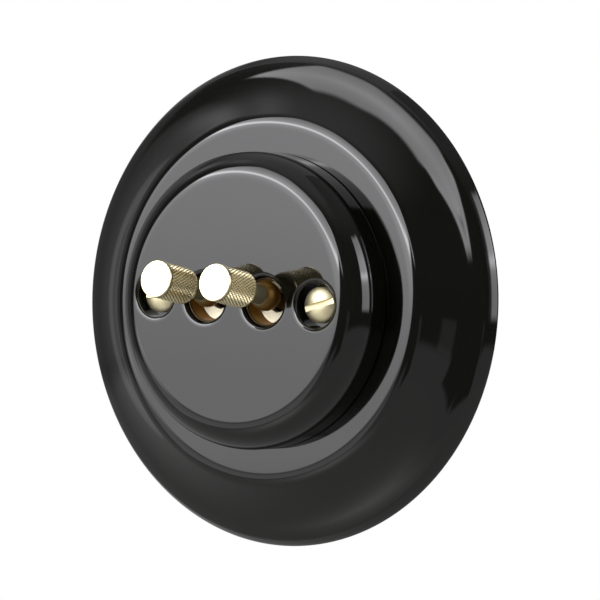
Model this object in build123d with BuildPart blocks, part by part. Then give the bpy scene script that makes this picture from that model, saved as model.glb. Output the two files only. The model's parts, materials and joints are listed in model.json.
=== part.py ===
from build123d import *
import math
import os

# Round porcelain wall switch with two knurled brass toggles.
# Millimetres. X is to the right, Y goes into the wall, Z is up, and the wall is the plane Y = 0.
# A height is a distance in front of the wall, so a point at height h has Y = -h.
# What sits behind the wall, in the wall box, has a negative height.

# Porcelain frame
frame_diameter = 100.0
rim_foot_radius = 0.2
rim_edge_height = 0.4
rim_edge_slope = 72.0
rim_flank_slope = 54.0
rim_corner_radius = 1.5
rim_crown_slope = 26.0
rim_crown_radius = 19.6
rim_width = 3.8
dip_height = 3.5
dip_slope = 19.0
ring_height = 9.0
ring_flat_radius = 34.8
ring_edge_radius = 5.5
ring_edge_slope = 35.0
ring_thickness = 4.2
frame_opening_radius = 26.4
frame_seat_width = 7.5
frame_seat_step = 2.2
plate_room = 1.5

# Porcelain cover
cover_diameter = 60.0
cover_height = 10.0
shoulder_radius = 5.3
cover_wall = 3.8
cover_face_thickness = 5.0
cover_inner_radius = 2.0
cover_foot_radius = 0.6
hole_edge_radius = 0.5

# Cover screws and the posts they go into
screw_spacing = 39.1
screw_recess_radius = 4.55
screw_recess_depth = 2.6
screw_head_radius = 3.55
screw_head_rim = 0.8
screw_head_dome = 1.3
screw_radius = 1.75
screw_length = 11.0
screw_slot_width = 1.1
screw_slot_depth = 1.2
left_slot_angle = 2.0
right_slot_angle = 18.0
screw_clearance = 0.35
thread_clearance = 0.03
post_radius = 3.0
post_top_gap = 1.4
post_spigot_radius = 2.0
post_thread_spare = 1.0

# Brass ferrules in the cover
toggle_spacing = 14.2
ferrule_radius = 4.9
ferrule_rim = 0.4
ferrule_depth = 1.2
ferrule_seat_web = 1.8
ferrule_neck_radius = 4.6
ferrule_floor_radius = 4.0
ferrule_floor_thickness = 1.2
ferrule_neck_spare = 0.2
ferrule_clearance = 0.1
nut_width = 11.4
nut_thickness = 1.5

# Toggles
toggle_tilt = 8.0
pivot_depth = 9.3
pin_radius = 1.0
pin_running_clearance = 0.05
pin_seat_clearance = 0.02
pin_end_gap = 0.4
hub_radius = 2.2
hub_length = 5.4
shank_radius = 1.3
shank_clearance = 0.15
ball_radius = 3.0
ball_distance = 8.4
neck_radius = 2.0
knob_start = 16.1
knob_length = 9.9
knob_radius = 3.7
knob_tip_chamfer = 0.25
knob_inner_round = 0.9
knob_tip_wall = 1.8
tail_radius = 2.4
tail_length = 7.0
tail_bore_radius = 1.5
tail_bore_floor = 2.8

# Plungers and springs in the toggles' tails
plunger_reach = 9.7
plunger_clearance = 0.08
plunger_guide = 1.8
spring_wire = 0.36
spring_turns = 4
spring_side_gap = 0.1

# Contact rockers
rocker_gap = 0.15
rocker_thickness = 1.7
rocker_length = 15.0
rocker_width = 5.0
rocker_tilt = 7.0
rocker_bar_radius = 0.8
rocker_bar_clearance = 0.06
rivet_radius = 1.3
rivet_height = 0.5
rivet_inset = 1.5

# Fixed contacts
contact_gap = 0.15
contact_thickness = 1.0
contact_reach = 6.1
leg_thickness = 0.8
tab_height = 5.2
tab_start = 3.6
terminal_from_back = 3.0

# Switch base and its back
base_side_wall = 4.4
base_end_wall = 5.5
base_corner = 2.0
base_front_gap = 0.4
base_depth = 11.0
cell_width = 7.0
cell_height = 19.0
slot_height = 6.4
slot_depth = 5.1
back_thickness = 2.0
flange_width = 14.0
flange_tongue = 5.5
flange_thickness = 2.0
wire_hole_radius = 1.3
wire_hole_offset = 2.75
wire_hole_depth = 6.0
wire_hole_wall = 0.3

# Small screws
terminal_screw_radius = 1.25
terminal_head_radius = 2.4
terminal_head_height = 1.6
terminal_recess = 2.3
terminal_recess_clearance = 0.3
small_hole_clearance = 0.1
small_slot_width = 0.6
small_slot_depth = 0.7
back_screw_radius = 1.1
back_screw_inset = 2.3
back_screw_length = 6.5
back_head_radius = 2.0
back_head_height = 1.2
base_screw_radius = 1.45
base_screw_end = 1.5
base_screw_inset = 2.6
base_head_radius = 2.6
base_head_height = 1.8

# Steel mounting plate
plate_radius = 35.5
plate_thickness = 1.2
plate_opening_gap = 0.3
plate_hole_clearance = 0.05
box_screw_spacing = 60.0
box_slot_width = 4.2
box_slot_length = 7.0

# Places that follow from the sizes above
frame_radius = frame_diameter / 2
cover_radius = cover_diameter / 2
cavity_radius = cover_radius - cover_wall
face_height = ring_height + cover_height
cavity_height = face_height - cover_face_thickness
foot_height = ring_height + cover_foot_radius
foot_inner_radius = cover_radius - cover_foot_radius
recess_floor = face_height - screw_recess_depth
plate_room_radius = plate_radius + plate_room
frame_seat_radius = frame_radius - frame_seat_width
ferrule_rim_height = face_height - ferrule_depth
ferrule_seat_height = cavity_height + ferrule_seat_web
ferrule_hole_radius = ferrule_radius + ferrule_clearance
ferrule_end_height = cavity_height - nut_thickness - ferrule_neck_spare
base_front_height = ferrule_end_height - base_front_gap
pivot_height = face_height - pivot_depth
ferrule_floor_height = ferrule_end_height + ferrule_floor_thickness
shank_swing = (ferrule_floor_height - pivot_height) * math.tan(math.radians(toggle_tilt))
ferrule_bore_radius = shank_radius / math.cos(math.radians(toggle_tilt)) + shank_swing + shank_clearance
ball_bottom = math.sqrt(ball_radius**2 - shank_radius**2)
ball_top = math.sqrt(ball_radius**2 - neck_radius**2)
knob_end = knob_start + knob_length
plunger_radius = tail_bore_radius - plunger_clearance
plunger_back = tail_length - plunger_guide
rocker_axis_height = pivot_height - plunger_reach - rocker_gap - rocker_thickness
rivet_offset = rocker_length / 2 - rivet_inset
rocker_sine = math.sin(math.radians(rocker_tilt))
rocker_cosine = math.cos(math.radians(rocker_tilt))
rivet_drop = (rivet_offset + rivet_radius) * rocker_sine + rivet_height * rocker_cosine
contact_height = rocker_axis_height - rivet_drop - contact_gap
terminal_height = terminal_from_back - base_depth
cell_half_height = cell_height / 2
cell_side = toggle_spacing / 2 + cell_width / 2
base_half_width = cell_side + base_side_wall
base_half_height = cell_half_height + base_end_wall
base_width = 2 * base_half_width
base_height = 2 * base_half_height
flange_height = base_height + 2 * flange_tongue
base_screw_z = flange_height / 2 - base_screw_inset
flange_top = plate_thickness + flange_thickness
back_outer_height = -base_depth - back_thickness
wire_hole_wall_offset = wire_hole_wall + wire_hole_radius

# Both sides of the switch: the name and the direction of each along X
sides = {"left": -1, "right": 1}

os.makedirs("parts", exist_ok=True)


def section_plane(x):
    """Plane through X = x whose local coordinates are radius and height."""
    return Plane(origin=(x, 0, 0), x_dir=(1, 0, 0), z_dir=(0, 0, -1))


def turning_axis(x):
    """Axis through X = x, square to the wall."""
    return Axis((x, 0, 0), (0, -1, 0))


def front_plane(height):
    """Plane parallel to the wall whose local coordinates are X and Z, facing the front."""
    return Plane(origin=(0, -height, 0), x_dir=(1, 0, 0), z_dir=(0, -1, 0))


def side_plane(x):
    """Plane square to X whose local coordinates are Z and height."""
    return Plane(origin=(x, 0, 0), x_dir=(0, 0, 1), z_dir=(1, 0, 0))


def toggle_plane(x):
    """Plane along a toggle's axis: local X is across it, local Y runs from the pivot to the knob."""
    tilt = math.radians(toggle_tilt)
    return Plane(
        origin=(x, -pivot_height, 0), x_dir=(1, 0, 0), z_dir=(0, -math.sin(tilt), -math.cos(tilt))
    )


def toggle_axis(x):
    """Axis of a toggle, from its pivot to its knob."""
    tilt = math.radians(toggle_tilt)
    return Axis((x, -pivot_height, 0), (0, -math.cos(tilt), math.sin(tilt)))


def toggle_cross_plane(x, distance):
    """Plane square to a toggle's axis, at a distance from its pivot towards the knob."""
    axis = toggle_axis(x)
    return Plane(origin=axis.position + axis.direction * distance, x_dir=(1, 0, 0), z_dir=axis.direction)


def export(builder, name):
    """Label a finished piece and write it to its own file."""
    builder.part.label = name
    export_step(builder.part, f"parts/{name}.step")


# Frame: one turned porcelain ring. The rim has a steep flank, a round corner and a flat crown, an ogee climbs
# to the raised flat ring, and the back is hollowed in two steps for the mounting plate. Crown and ogee meet
# where the slope is least.
ring_edge_direction, dip_direction, crown_direction, flank_direction, rim_edge_direction = [
    Vector(math.cos(math.radians(slope)), -math.sin(math.radians(slope)))
    for slope in (ring_edge_slope, dip_slope, rim_crown_slope, rim_flank_slope, rim_edge_slope)
]
ring_edge_end = (
    ring_flat_radius - ring_edge_radius * ring_edge_direction.Y,
    ring_height - ring_edge_radius * (1 - ring_edge_direction.X),
)
dip = Vector(frame_radius - rim_width, dip_height)
crown_centre = dip + Vector(dip_direction.Y, -dip_direction.X) * rim_crown_radius
crown_end = crown_centre - Vector(crown_direction.Y, -crown_direction.X) * rim_crown_radius
corner_centre = crown_end + Vector(crown_direction.Y, -crown_direction.X) * rim_corner_radius
corner_end = corner_centre - Vector(flank_direction.Y, -flank_direction.X) * rim_corner_radius
rim_edge = Vector(frame_radius, rim_edge_height)
frame_hollow = ring_height - ring_thickness
with BuildPart() as frame_ring:
    with BuildSketch(section_plane(0)):
        with BuildLine():
            Line((frame_opening_radius, ring_height), (ring_flat_radius, ring_height))
            CenterArc(
                (ring_flat_radius, ring_height - ring_edge_radius), ring_edge_radius,
                90 - ring_edge_slope, ring_edge_slope,
            )
            Spline(ring_edge_end, dip, tangents=[ring_edge_direction, dip_direction])
            CenterArc(crown_centre, rim_crown_radius, 90 - rim_crown_slope, rim_crown_slope - dip_slope)
            CenterArc(
                corner_centre, rim_corner_radius,
                90 - rim_flank_slope, rim_flank_slope - rim_crown_slope,
            )
            Spline(corner_end, rim_edge, tangents=[flank_direction, rim_edge_direction])
            Line(rim_edge, (frame_radius, rim_foot_radius))
            CenterArc((frame_radius - rim_foot_radius, rim_foot_radius), rim_foot_radius, -90, 90)
            Polyline(
                (frame_radius - rim_foot_radius, 0),
                (frame_seat_radius, 0),
                (frame_seat_radius, frame_seat_step),
                (plate_room_radius, frame_seat_step),
                (plate_room_radius, frame_hollow),
                (frame_opening_radius, frame_hollow),
                (frame_opening_radius, ring_height),
            )
        make_face()
    revolve(axis=turning_axis(0))
export(frame_ring, "frame_ring")

# Cover: a porcelain cap with a round shoulder that stands on the frame's raised ring.
# Two recessed screw holes and two stepped toggle holes lie in a row across its face.
with BuildPart() as cover:
    with BuildSketch(section_plane(0)):
        with BuildLine():
            Polyline((0, cavity_height), (0, face_height), (cover_radius - shoulder_radius, face_height))
            CenterArc((cover_radius - shoulder_radius, face_height - shoulder_radius), shoulder_radius, 0, 90)
            Line((cover_radius, face_height - shoulder_radius), (cover_radius, foot_height))
            CenterArc((foot_inner_radius, foot_height), cover_foot_radius, -90, 90)
            Polyline(
                (foot_inner_radius, ring_height),
                (cavity_radius, ring_height),
                (cavity_radius, cavity_height - cover_inner_radius),
            )
            CenterArc(
                (cavity_radius - cover_inner_radius, cavity_height - cover_inner_radius),
                cover_inner_radius, 0, 90,
            )
            Line((cavity_radius - cover_inner_radius, cavity_height), (0, cavity_height))
        make_face()
    revolve(axis=turning_axis(0))
    with BuildSketch(front_plane(face_height)):
        with GridLocations(screw_spacing, 0, 2, 1):
            Circle(screw_recess_radius)
    extrude(amount=-screw_recess_depth, mode=Mode.SUBTRACT)
    with BuildSketch(front_plane(recess_floor)):
        with GridLocations(screw_spacing, 0, 2, 1):
            Circle(screw_radius + screw_clearance)
    extrude(amount=cavity_height - recess_floor, mode=Mode.SUBTRACT)
    with BuildSketch(front_plane(face_height)):
        with GridLocations(toggle_spacing, 0, 2, 1):
            Circle(ferrule_hole_radius)
    extrude(amount=ferrule_seat_height - face_height, mode=Mode.SUBTRACT)
    with BuildSketch(front_plane(ferrule_seat_height)):
        with GridLocations(toggle_spacing, 0, 2, 1):
            Circle(ferrule_neck_radius + ferrule_clearance)
    extrude(amount=cavity_height - ferrule_seat_height, mode=Mode.SUBTRACT)
    face_edges = cover.edges().filter_by(GeomType.CIRCLE).filter_by_position(
        Axis.Y, -face_height - hole_edge_radius / 10, -face_height + hole_edge_radius / 10
    )
    flat_radius = cover_radius - shoulder_radius
    hole_edges = face_edges.filter_by(lambda edge: edge.radius < flat_radius - hole_edge_radius)
    fillet(hole_edges, hole_edge_radius)
export(cover, "cover")

# Cover screws: slotted brass screws with a low domed head, seated in the cover's recesses.
head_top = recess_floor + screw_head_rim + screw_head_dome
dome_radius = (screw_head_radius**2 + screw_head_dome**2) / (2 * screw_head_dome)
with BuildPart() as cover_screws:
    for side, direction in sides.items():
        x = direction * screw_spacing / 2
        with BuildSketch(section_plane(x)):
            with BuildLine():
                Polyline(
                    (0, head_top),
                    (0, recess_floor - screw_length),
                    (screw_radius, recess_floor - screw_length),
                    (screw_radius, recess_floor),
                    (screw_head_radius, recess_floor),
                    (screw_head_radius, recess_floor + screw_head_rim),
                )
                RadiusArc((screw_head_radius, recess_floor + screw_head_rim), (0, head_top), -dome_radius)
            make_face()
        revolve(axis=turning_axis(x))
        slot_angle = left_slot_angle if side == "left" else right_slot_angle
        with BuildSketch(front_plane(head_top)):
            with Locations((x, 0)):
                Rectangle(2 * screw_head_radius + screw_slot_width, screw_slot_width, rotation=slot_angle)
        extrude(amount=-screw_slot_depth, mode=Mode.SUBTRACT)
export(cover_screws, "cover_screws")

# Ferrules: a brass cup set in each toggle hole, with a flat floor and a threaded neck through the cover.
for side, direction in sides.items():
    x = direction * toggle_spacing / 2
    with BuildPart() as ferrule:
        with BuildSketch(section_plane(x)):
            with BuildLine():
                Polyline(
                    (ferrule_radius - ferrule_rim, ferrule_rim_height),
                    (ferrule_radius, ferrule_rim_height),
                    (ferrule_radius, ferrule_seat_height),
                    (ferrule_neck_radius, ferrule_seat_height),
                    (ferrule_neck_radius, ferrule_end_height),
                    (ferrule_bore_radius, ferrule_end_height),
                    (ferrule_bore_radius, ferrule_floor_height),
                    (ferrule_floor_radius, ferrule_floor_height),
                    (ferrule_radius - ferrule_rim, ferrule_rim_height),
                )
            make_face()
        revolve(axis=turning_axis(x))
    export(ferrule, f"ferrule_{side}")

# Ferrule nuts: thin hexagon nuts that hold the ferrules from inside the cover.
with BuildPart() as ferrule_nuts:
    with BuildSketch(front_plane(cavity_height)):
        with GridLocations(toggle_spacing, 0, 2, 1):
            RegularPolygon(nut_width / 2, 6, major_radius=False)
            Circle(ferrule_neck_radius + thread_clearance, mode=Mode.SUBTRACT)
    extrude(amount=-nut_thickness)
export(ferrule_nuts, "ferrule_nuts")

# Toggles: the lever carries the knob in front of its pivot and the sprung plunger behind it.
for side, direction in sides.items():
    x = direction * toggle_spacing / 2
    neck_end = knob_end - knob_tip_wall

    # Lever: a brass rod with a ball that fills the cup, a hub for the pivot pin and a bored tail.
    with BuildPart() as lever:
        with BuildSketch(toggle_plane(x)):
            with BuildLine():
                Polyline(
                    (0, -tail_bore_floor),
                    (tail_bore_radius, -tail_bore_floor),
                    (tail_bore_radius, -tail_length),
                    (tail_radius, -tail_length),
                    (tail_radius, 0),
                    (shank_radius, 0),
                    (shank_radius, ball_distance - ball_bottom),
                )
                ThreePointArc(
                    (shank_radius, ball_distance - ball_bottom),
                    (ball_radius, ball_distance),
                    (neck_radius, ball_distance + ball_top),
                )
                Polyline(
                    (neck_radius, ball_distance + ball_top),
                    (neck_radius, neck_end),
                    (0, neck_end),
                    (0, -tail_bore_floor),
                )
            make_face()
        revolve(axis=toggle_axis(x))
        with BuildSketch(side_plane(x)):
            with Locations((0, pivot_height)):
                Circle(hub_radius)
        extrude(amount=hub_length / 2, both=True)
        with BuildSketch(side_plane(x)):
            with Locations((0, pivot_height)):
                Circle(pin_radius + pin_running_clearance)
        extrude(amount=hub_length, both=True, mode=Mode.SUBTRACT)
    export(lever, f"lever_{side}")

    # Knob: a brass cylinder on the lever's end, with a flat tip.
    with BuildPart() as knob:
        with BuildSketch(toggle_plane(x)):
            with BuildLine():
                Polyline(
                    (neck_radius + thread_clearance, knob_start),
                    (knob_radius - knob_inner_round, knob_start),
                )
                CenterArc(
                    (knob_radius - knob_inner_round, knob_start + knob_inner_round), knob_inner_round, -90, 90
                )
                Polyline(
                    (knob_radius, knob_start + knob_inner_round),
                    (knob_radius, knob_end - knob_tip_chamfer),
                    (knob_radius - knob_tip_chamfer, knob_end),
                    (0, knob_end),
                    (0, neck_end),
                    (neck_radius + thread_clearance, neck_end),
                    (neck_radius + thread_clearance, knob_start),
                )
            make_face()
        revolve(axis=toggle_axis(x))
    export(knob, f"knob_{side}")

    # Plunger: a round-nosed pin that slides in the lever's tail and rides over the rocker.
    with BuildPart() as plunger:
        with BuildSketch(toggle_plane(x)):
            with BuildLine():
                Polyline(
                    (0, -plunger_reach),
                    (0, -plunger_back),
                    (plunger_radius, -plunger_back),
                    (plunger_radius, plunger_radius - plunger_reach),
                )
                CenterArc((0, plunger_radius - plunger_reach), plunger_radius, -90, 90)
            make_face()
        revolve(axis=toggle_axis(x))
    export(plunger, f"plunger_{side}")

    # Spring: a short coil between the tail's bore and the plunger.
    spring_radius = plunger_radius - spring_side_gap - spring_wire / 2
    spring_length = plunger_back - tail_bore_floor - spring_wire
    spring_start = toggle_cross_plane(x, -plunger_back + spring_wire / 2)
    with BuildPart() as spring:
        with BuildLine() as coil:
            Helix(
                spring_length / spring_turns, spring_length, spring_radius,
                center=spring_start.origin, direction=spring_start.z_dir,
            )
        with BuildSketch(Plane(origin=coil.line @ 0, z_dir=coil.line % 0)):
            Circle(spring_wire / 2)
        sweep(path=coil.line, is_frenet=True)
    export(spring, f"spring_{side}")

    # Pivot pin: a steel pin through the lever's hub, held in the base on both sides.
    pin_inner = pin_end_gap
    pin_outer = base_half_width - pin_end_gap
    with BuildPart() as pivot_pin:
        with BuildSketch(side_plane(direction * pin_inner)):
            with Locations((0, pivot_height)):
                Circle(pin_radius)
        extrude(amount=direction * (pin_outer - pin_inner))
    export(pivot_pin, f"pivot_pin_{side}")

    # Contact rocker: a brass seesaw that the plunger throws from one fixed contact to the other.
    rocker_plane = Plane(
        origin=(x, -rocker_axis_height, 0), x_dir=(0, -rocker_sine, rocker_cosine), z_dir=(1, 0, 0)
    )
    rocker_back = Plane(
        origin=(x, -rocker_axis_height, 0), x_dir=(1, 0, 0), z_dir=(0, rocker_cosine, rocker_sine)
    )
    with BuildPart() as contact_rocker:
        with BuildSketch(rocker_plane):
            Rectangle(rocker_length, rocker_thickness, align=(Align.CENTER, Align.MIN))
            Circle(rocker_bar_radius + rocker_bar_clearance, mode=Mode.SUBTRACT)
        extrude(amount=rocker_width / 2, both=True)
        with BuildSketch(rocker_back):
            with GridLocations(0, 2 * rivet_offset, 1, 2):
                Circle(rivet_radius)
        extrude(amount=rivet_height)
    export(contact_rocker, f"contact_rocker_{side}")

    # Common contact: the bar that the rocker tips on, its web, and a tab for the terminal screw.
    web_inner = x - direction * rocker_width / 2
    tab_outer = direction * cell_side
    tab_top = rocker_axis_height - tab_start
    with BuildPart() as common_contact:
        with BuildSketch(side_plane(x)):
            with Locations((0, rocker_axis_height)):
                Circle(rocker_bar_radius)
                Rectangle(leg_thickness, rocker_axis_height + base_depth, align=(Align.CENTER, Align.MAX))
        extrude(amount=rocker_width / 2, both=True)
        with BuildSketch(side_plane(tab_outer)):
            with Locations((0, -base_depth)):
                Rectangle(leg_thickness, tab_top + base_depth, align=(Align.CENTER, Align.MIN))
        extrude(amount=web_inner - tab_outer)
        with BuildSketch(side_plane(tab_outer)):
            with Locations((0, -base_depth)):
                Rectangle(tab_height, tab_top + base_depth, align=(Align.CENTER, Align.MIN))
            with Locations((0, terminal_height)):
                Circle(terminal_screw_radius + small_hole_clearance, mode=Mode.SUBTRACT)
        extrude(amount=-direction * leg_thickness)
        with BuildSketch(side_plane(tab_outer)):
            with Locations((0, terminal_height)):
                Circle(terminal_screw_radius + small_hole_clearance)
        extrude(amount=-direction * leg_thickness, mode=Mode.SUBTRACT)
    export(common_contact, f"common_contact_{side}")

    # Fixed contacts: bent strips above and below, each with a leg that a terminal screw holds.
    for level, up in {"upper": 1, "lower": -1}.items():
        leg_outer = up * cell_half_height
        with BuildPart() as fixed_contact:
            with BuildSketch(side_plane(x)):
                with BuildLine():
                    Polyline(
                        (leg_outer, contact_height),
                        (leg_outer, -base_depth),
                        (leg_outer - up * leg_thickness, -base_depth),
                        (leg_outer - up * leg_thickness, contact_height - contact_thickness),
                        (leg_outer - up * contact_reach, contact_height - contact_thickness),
                        (leg_outer - up * contact_reach, contact_height),
                        close=True,
                    )
                make_face()
            extrude(amount=rocker_width / 2, both=True)
            with BuildSketch(Plane(origin=(x, -terminal_height, leg_outer), z_dir=(0, 0, -up))):
                Circle(terminal_screw_radius + small_hole_clearance)
            extrude(amount=leg_thickness, mode=Mode.SUBTRACT)
        export(fixed_contact, f"{level}_contact_{side}")

# Terminal screw places: a plane on the base's outer face, facing out, and the wall behind it
terminals = []
for direction in sides.values():
    x = direction * toggle_spacing / 2
    side_face = Plane(origin=(direction * base_half_width, -terminal_height, 0), z_dir=(direction, 0, 0))
    terminals.append((side_face, base_side_wall))
    for up in (1, -1):
        end_face = Plane(origin=(x, -terminal_height, up * base_half_height), z_dir=(0, 0, up))
        terminals.append((end_face, base_end_wall))

# Wire holes: one beside each terminal screw, entered from the back
wire_places = []
for direction in sides.values():
    wire_places.append((direction * (cell_side + wire_hole_wall_offset), wire_hole_offset))
    for up in (1, -1):
        wire_x = direction * (toggle_spacing / 2 + wire_hole_offset)
        wire_places.append((wire_x, up * (cell_half_height + wire_hole_wall_offset)))

# Places of the small screws that hold the base's back and the base itself
back_screw_pitch_x = base_width - 2 * back_screw_inset
back_screw_pitch_z = base_height - 2 * back_screw_inset
base_screw_pitch = 2 * base_screw_z

# Switch base: a moulded block with one cell for each toggle, open at the back, and two fixing tongues.
with BuildPart() as switch_base:
    with BuildSketch(front_plane(-base_depth)):
        RectangleRounded(base_width, base_height, base_corner)
    extrude(amount=base_depth + base_front_height)
    with BuildSketch(front_plane(plate_thickness)):
        RectangleRounded(flange_width, flange_height, base_corner)
    extrude(amount=flange_thickness)
    with BuildSketch(front_plane(-base_depth)):
        with GridLocations(toggle_spacing, 0, 2, 1):
            Rectangle(cell_width, cell_height)
    extrude(amount=base_depth + base_front_height - slot_depth, mode=Mode.SUBTRACT)
    with BuildSketch(front_plane(base_front_height)):
        with GridLocations(toggle_spacing, 0, 2, 1):
            Rectangle(cell_width, slot_height)
    extrude(amount=-slot_depth, mode=Mode.SUBTRACT)
    with BuildSketch(side_plane(0)):
        with Locations((0, pivot_height)):
            Circle(pin_radius + pin_seat_clearance)
    extrude(amount=base_half_width, both=True, mode=Mode.SUBTRACT)
    for plane, wall in terminals:
        with BuildSketch(plane):
            Circle(terminal_screw_radius + small_hole_clearance)
        extrude(amount=-wall, mode=Mode.SUBTRACT)
        with BuildSketch(plane):
            Circle(terminal_head_radius + terminal_recess_clearance)
        extrude(amount=-terminal_recess, mode=Mode.SUBTRACT)
    with BuildSketch(front_plane(-base_depth)):
        with Locations(*wire_places):
            Circle(wire_hole_radius)
    extrude(amount=wire_hole_depth, mode=Mode.SUBTRACT)
    with BuildSketch(front_plane(-base_depth)):
        with GridLocations(back_screw_pitch_x, back_screw_pitch_z, 2, 2):
            Circle(back_screw_radius + thread_clearance)
    extrude(amount=back_screw_length - back_thickness + post_thread_spare, mode=Mode.SUBTRACT)
    with BuildSketch(front_plane(plate_thickness)):
        with GridLocations(0, base_screw_pitch, 1, 2):
            Circle(base_screw_radius + small_hole_clearance)
    extrude(amount=flange_thickness, mode=Mode.SUBTRACT)
export(switch_base, "switch_base")

# Base back: the plate that closes the cells, with the wire holes.
with BuildPart() as base_back:
    with BuildSketch(front_plane(back_outer_height)):
        RectangleRounded(base_width, base_height, base_corner)
        with Locations(*wire_places):
            Circle(wire_hole_radius, mode=Mode.SUBTRACT)
        with GridLocations(back_screw_pitch_x, back_screw_pitch_z, 2, 2):
            Circle(back_screw_radius + small_hole_clearance, mode=Mode.SUBTRACT)
    extrude(amount=back_thickness)
export(base_back, "base_back")

# Back screws: four slotted screws through the base's back.
with BuildPart() as back_screws:
    with BuildSketch(front_plane(back_outer_height)):
        with GridLocations(back_screw_pitch_x, back_screw_pitch_z, 2, 2):
            Circle(back_screw_radius)
    extrude(amount=back_screw_length)
    with BuildSketch(front_plane(back_outer_height)):
        with GridLocations(back_screw_pitch_x, back_screw_pitch_z, 2, 2):
            Circle(back_head_radius)
    extrude(amount=-back_head_height)
    with BuildSketch(front_plane(back_outer_height - back_head_height)):
        with GridLocations(back_screw_pitch_x, back_screw_pitch_z, 2, 2):
            Rectangle(2 * back_head_radius, small_slot_width)
    extrude(amount=small_slot_depth, mode=Mode.SUBTRACT)
export(back_screws, "back_screws")

# Terminal screws: a slotted screw in each terminal, sunk in the base's wall.
with BuildPart() as terminal_screws:
    for plane, wall in terminals:
        seat = plane.offset(-terminal_recess)
        with BuildSketch(seat):
            Circle(terminal_screw_radius)
        extrude(amount=terminal_recess - wall - leg_thickness)
        with BuildSketch(seat):
            Circle(terminal_head_radius)
        extrude(amount=terminal_head_height)
        with BuildSketch(seat.offset(terminal_head_height)):
            Rectangle(2 * terminal_head_radius, small_slot_width)
        extrude(amount=-small_slot_depth, mode=Mode.SUBTRACT)
export(terminal_screws, "terminal_screws")

# Mounting plate: a round steel plate against the wall, with slots for the wall box's screws.
with BuildPart() as mounting_plate:
    with BuildSketch(front_plane(0)):
        Circle(plate_radius)
        Rectangle(
            base_width + 2 * plate_opening_gap, base_height + 2 * plate_opening_gap, mode=Mode.SUBTRACT
        )
        with GridLocations(screw_spacing, 0, 2, 1):
            Circle(post_spigot_radius + plate_hole_clearance, mode=Mode.SUBTRACT)
        with GridLocations(0, base_screw_pitch, 1, 2):
            Circle(base_screw_radius + plate_hole_clearance, mode=Mode.SUBTRACT)
        with GridLocations(box_screw_spacing, 0, 2, 1):
            SlotOverall(box_slot_length, box_slot_width, mode=Mode.SUBTRACT)
    extrude(amount=plate_thickness)
export(mounting_plate, "mounting_plate")

# Base screws: two slotted screws that hold the base's tongues to the plate.
with BuildPart() as base_screws:
    with BuildSketch(front_plane(flange_top)):
        with GridLocations(0, base_screw_pitch, 1, 2):
            Circle(base_screw_radius)
    extrude(amount=-flange_top - base_screw_end)
    with BuildSketch(front_plane(flange_top)):
        with GridLocations(0, base_screw_pitch, 1, 2):
            Circle(base_head_radius)
    extrude(amount=base_head_height)
    with BuildSketch(front_plane(flange_top + base_head_height)):
        with GridLocations(0, base_screw_pitch, 1, 2):
            Rectangle(2 * base_head_radius, small_slot_width)
    extrude(amount=-small_slot_depth, mode=Mode.SUBTRACT)
export(base_screws, "base_screws")

# Screw posts: threaded brass posts riveted to the plate, which the cover screws pull on.
post_top = cavity_height - post_top_gap
post_floor = recess_floor - screw_length - post_thread_spare
with BuildPart() as screw_posts:
    with BuildSketch(front_plane(0)):
        with GridLocations(screw_spacing, 0, 2, 1):
            Circle(post_spigot_radius)
    extrude(amount=plate_thickness)
    with BuildSketch(front_plane(plate_thickness)):
        with GridLocations(screw_spacing, 0, 2, 1):
            Circle(post_radius)
    extrude(amount=post_top - plate_thickness)
    with BuildSketch(front_plane(post_top)):
        with GridLocations(screw_spacing, 0, 2, 1):
            Circle(screw_radius + thread_clearance)
    extrude(amount=post_floor - post_top, mode=Mode.SUBTRACT)
export(screw_posts, "screw_posts")
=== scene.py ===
# %% [markdown]
# # A porcelain wall switch with two brass toggles
#
# The switch is a black glazed porcelain frame with a raised round cover. Two knurled brass toggles
# stand in brass cups in the cover, between two slotted brass screws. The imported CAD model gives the
# places and the sizes. This script turns the pieces that show into smooth, finely made ones, gives
# every piece its finish, and lights and frames the whole as a product picture.

# %% Load the frame
import json
import math

import bpy
from mathutils import Matrix, Vector


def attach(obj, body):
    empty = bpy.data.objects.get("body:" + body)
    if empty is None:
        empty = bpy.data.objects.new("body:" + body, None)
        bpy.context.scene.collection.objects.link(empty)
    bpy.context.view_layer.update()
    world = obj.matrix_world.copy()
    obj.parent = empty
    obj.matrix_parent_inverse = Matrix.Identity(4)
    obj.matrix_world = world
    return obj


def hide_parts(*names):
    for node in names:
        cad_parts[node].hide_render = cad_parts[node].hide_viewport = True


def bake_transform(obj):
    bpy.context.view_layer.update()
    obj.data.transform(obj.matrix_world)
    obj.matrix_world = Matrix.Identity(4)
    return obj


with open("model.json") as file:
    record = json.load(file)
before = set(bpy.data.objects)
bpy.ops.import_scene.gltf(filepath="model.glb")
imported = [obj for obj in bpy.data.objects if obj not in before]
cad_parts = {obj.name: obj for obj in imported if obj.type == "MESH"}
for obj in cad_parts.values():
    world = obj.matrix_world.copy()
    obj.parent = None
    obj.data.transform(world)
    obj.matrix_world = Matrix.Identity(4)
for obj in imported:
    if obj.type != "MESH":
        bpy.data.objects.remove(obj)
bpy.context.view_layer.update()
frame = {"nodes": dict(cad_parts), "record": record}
nodes = frame["nodes"]
MM = 0.001

# %% [markdown]
# ## A lathe
#
# Frame, cover, ferrules, screws and knobs are all round, so they are all turned, as a potter or a lathe
# hand would make them. A modifier could spin a profile too, but the Spin operator leaves a plain mesh,
# which the next step can cut at once. A single point is drawn out along the profile by extruding, and
# the line is then spun round Z. A spin leaves its first and last line one on the other, so doubles are
# merged before the normals are worked out again.

# %% Lathe helpers
MERGE_DISTANCE = 0.0005


def arc(centre, radius, start, end, steps):
    """Points (radius, height) on an arc, with its angles in degrees from the outward direction."""
    angles = [math.radians(start + (end - start) * i / steps) for i in range(steps + 1)]
    return [(centre[0] + radius * math.cos(a), centre[1] + radius * math.sin(a)) for a in angles]


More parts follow.
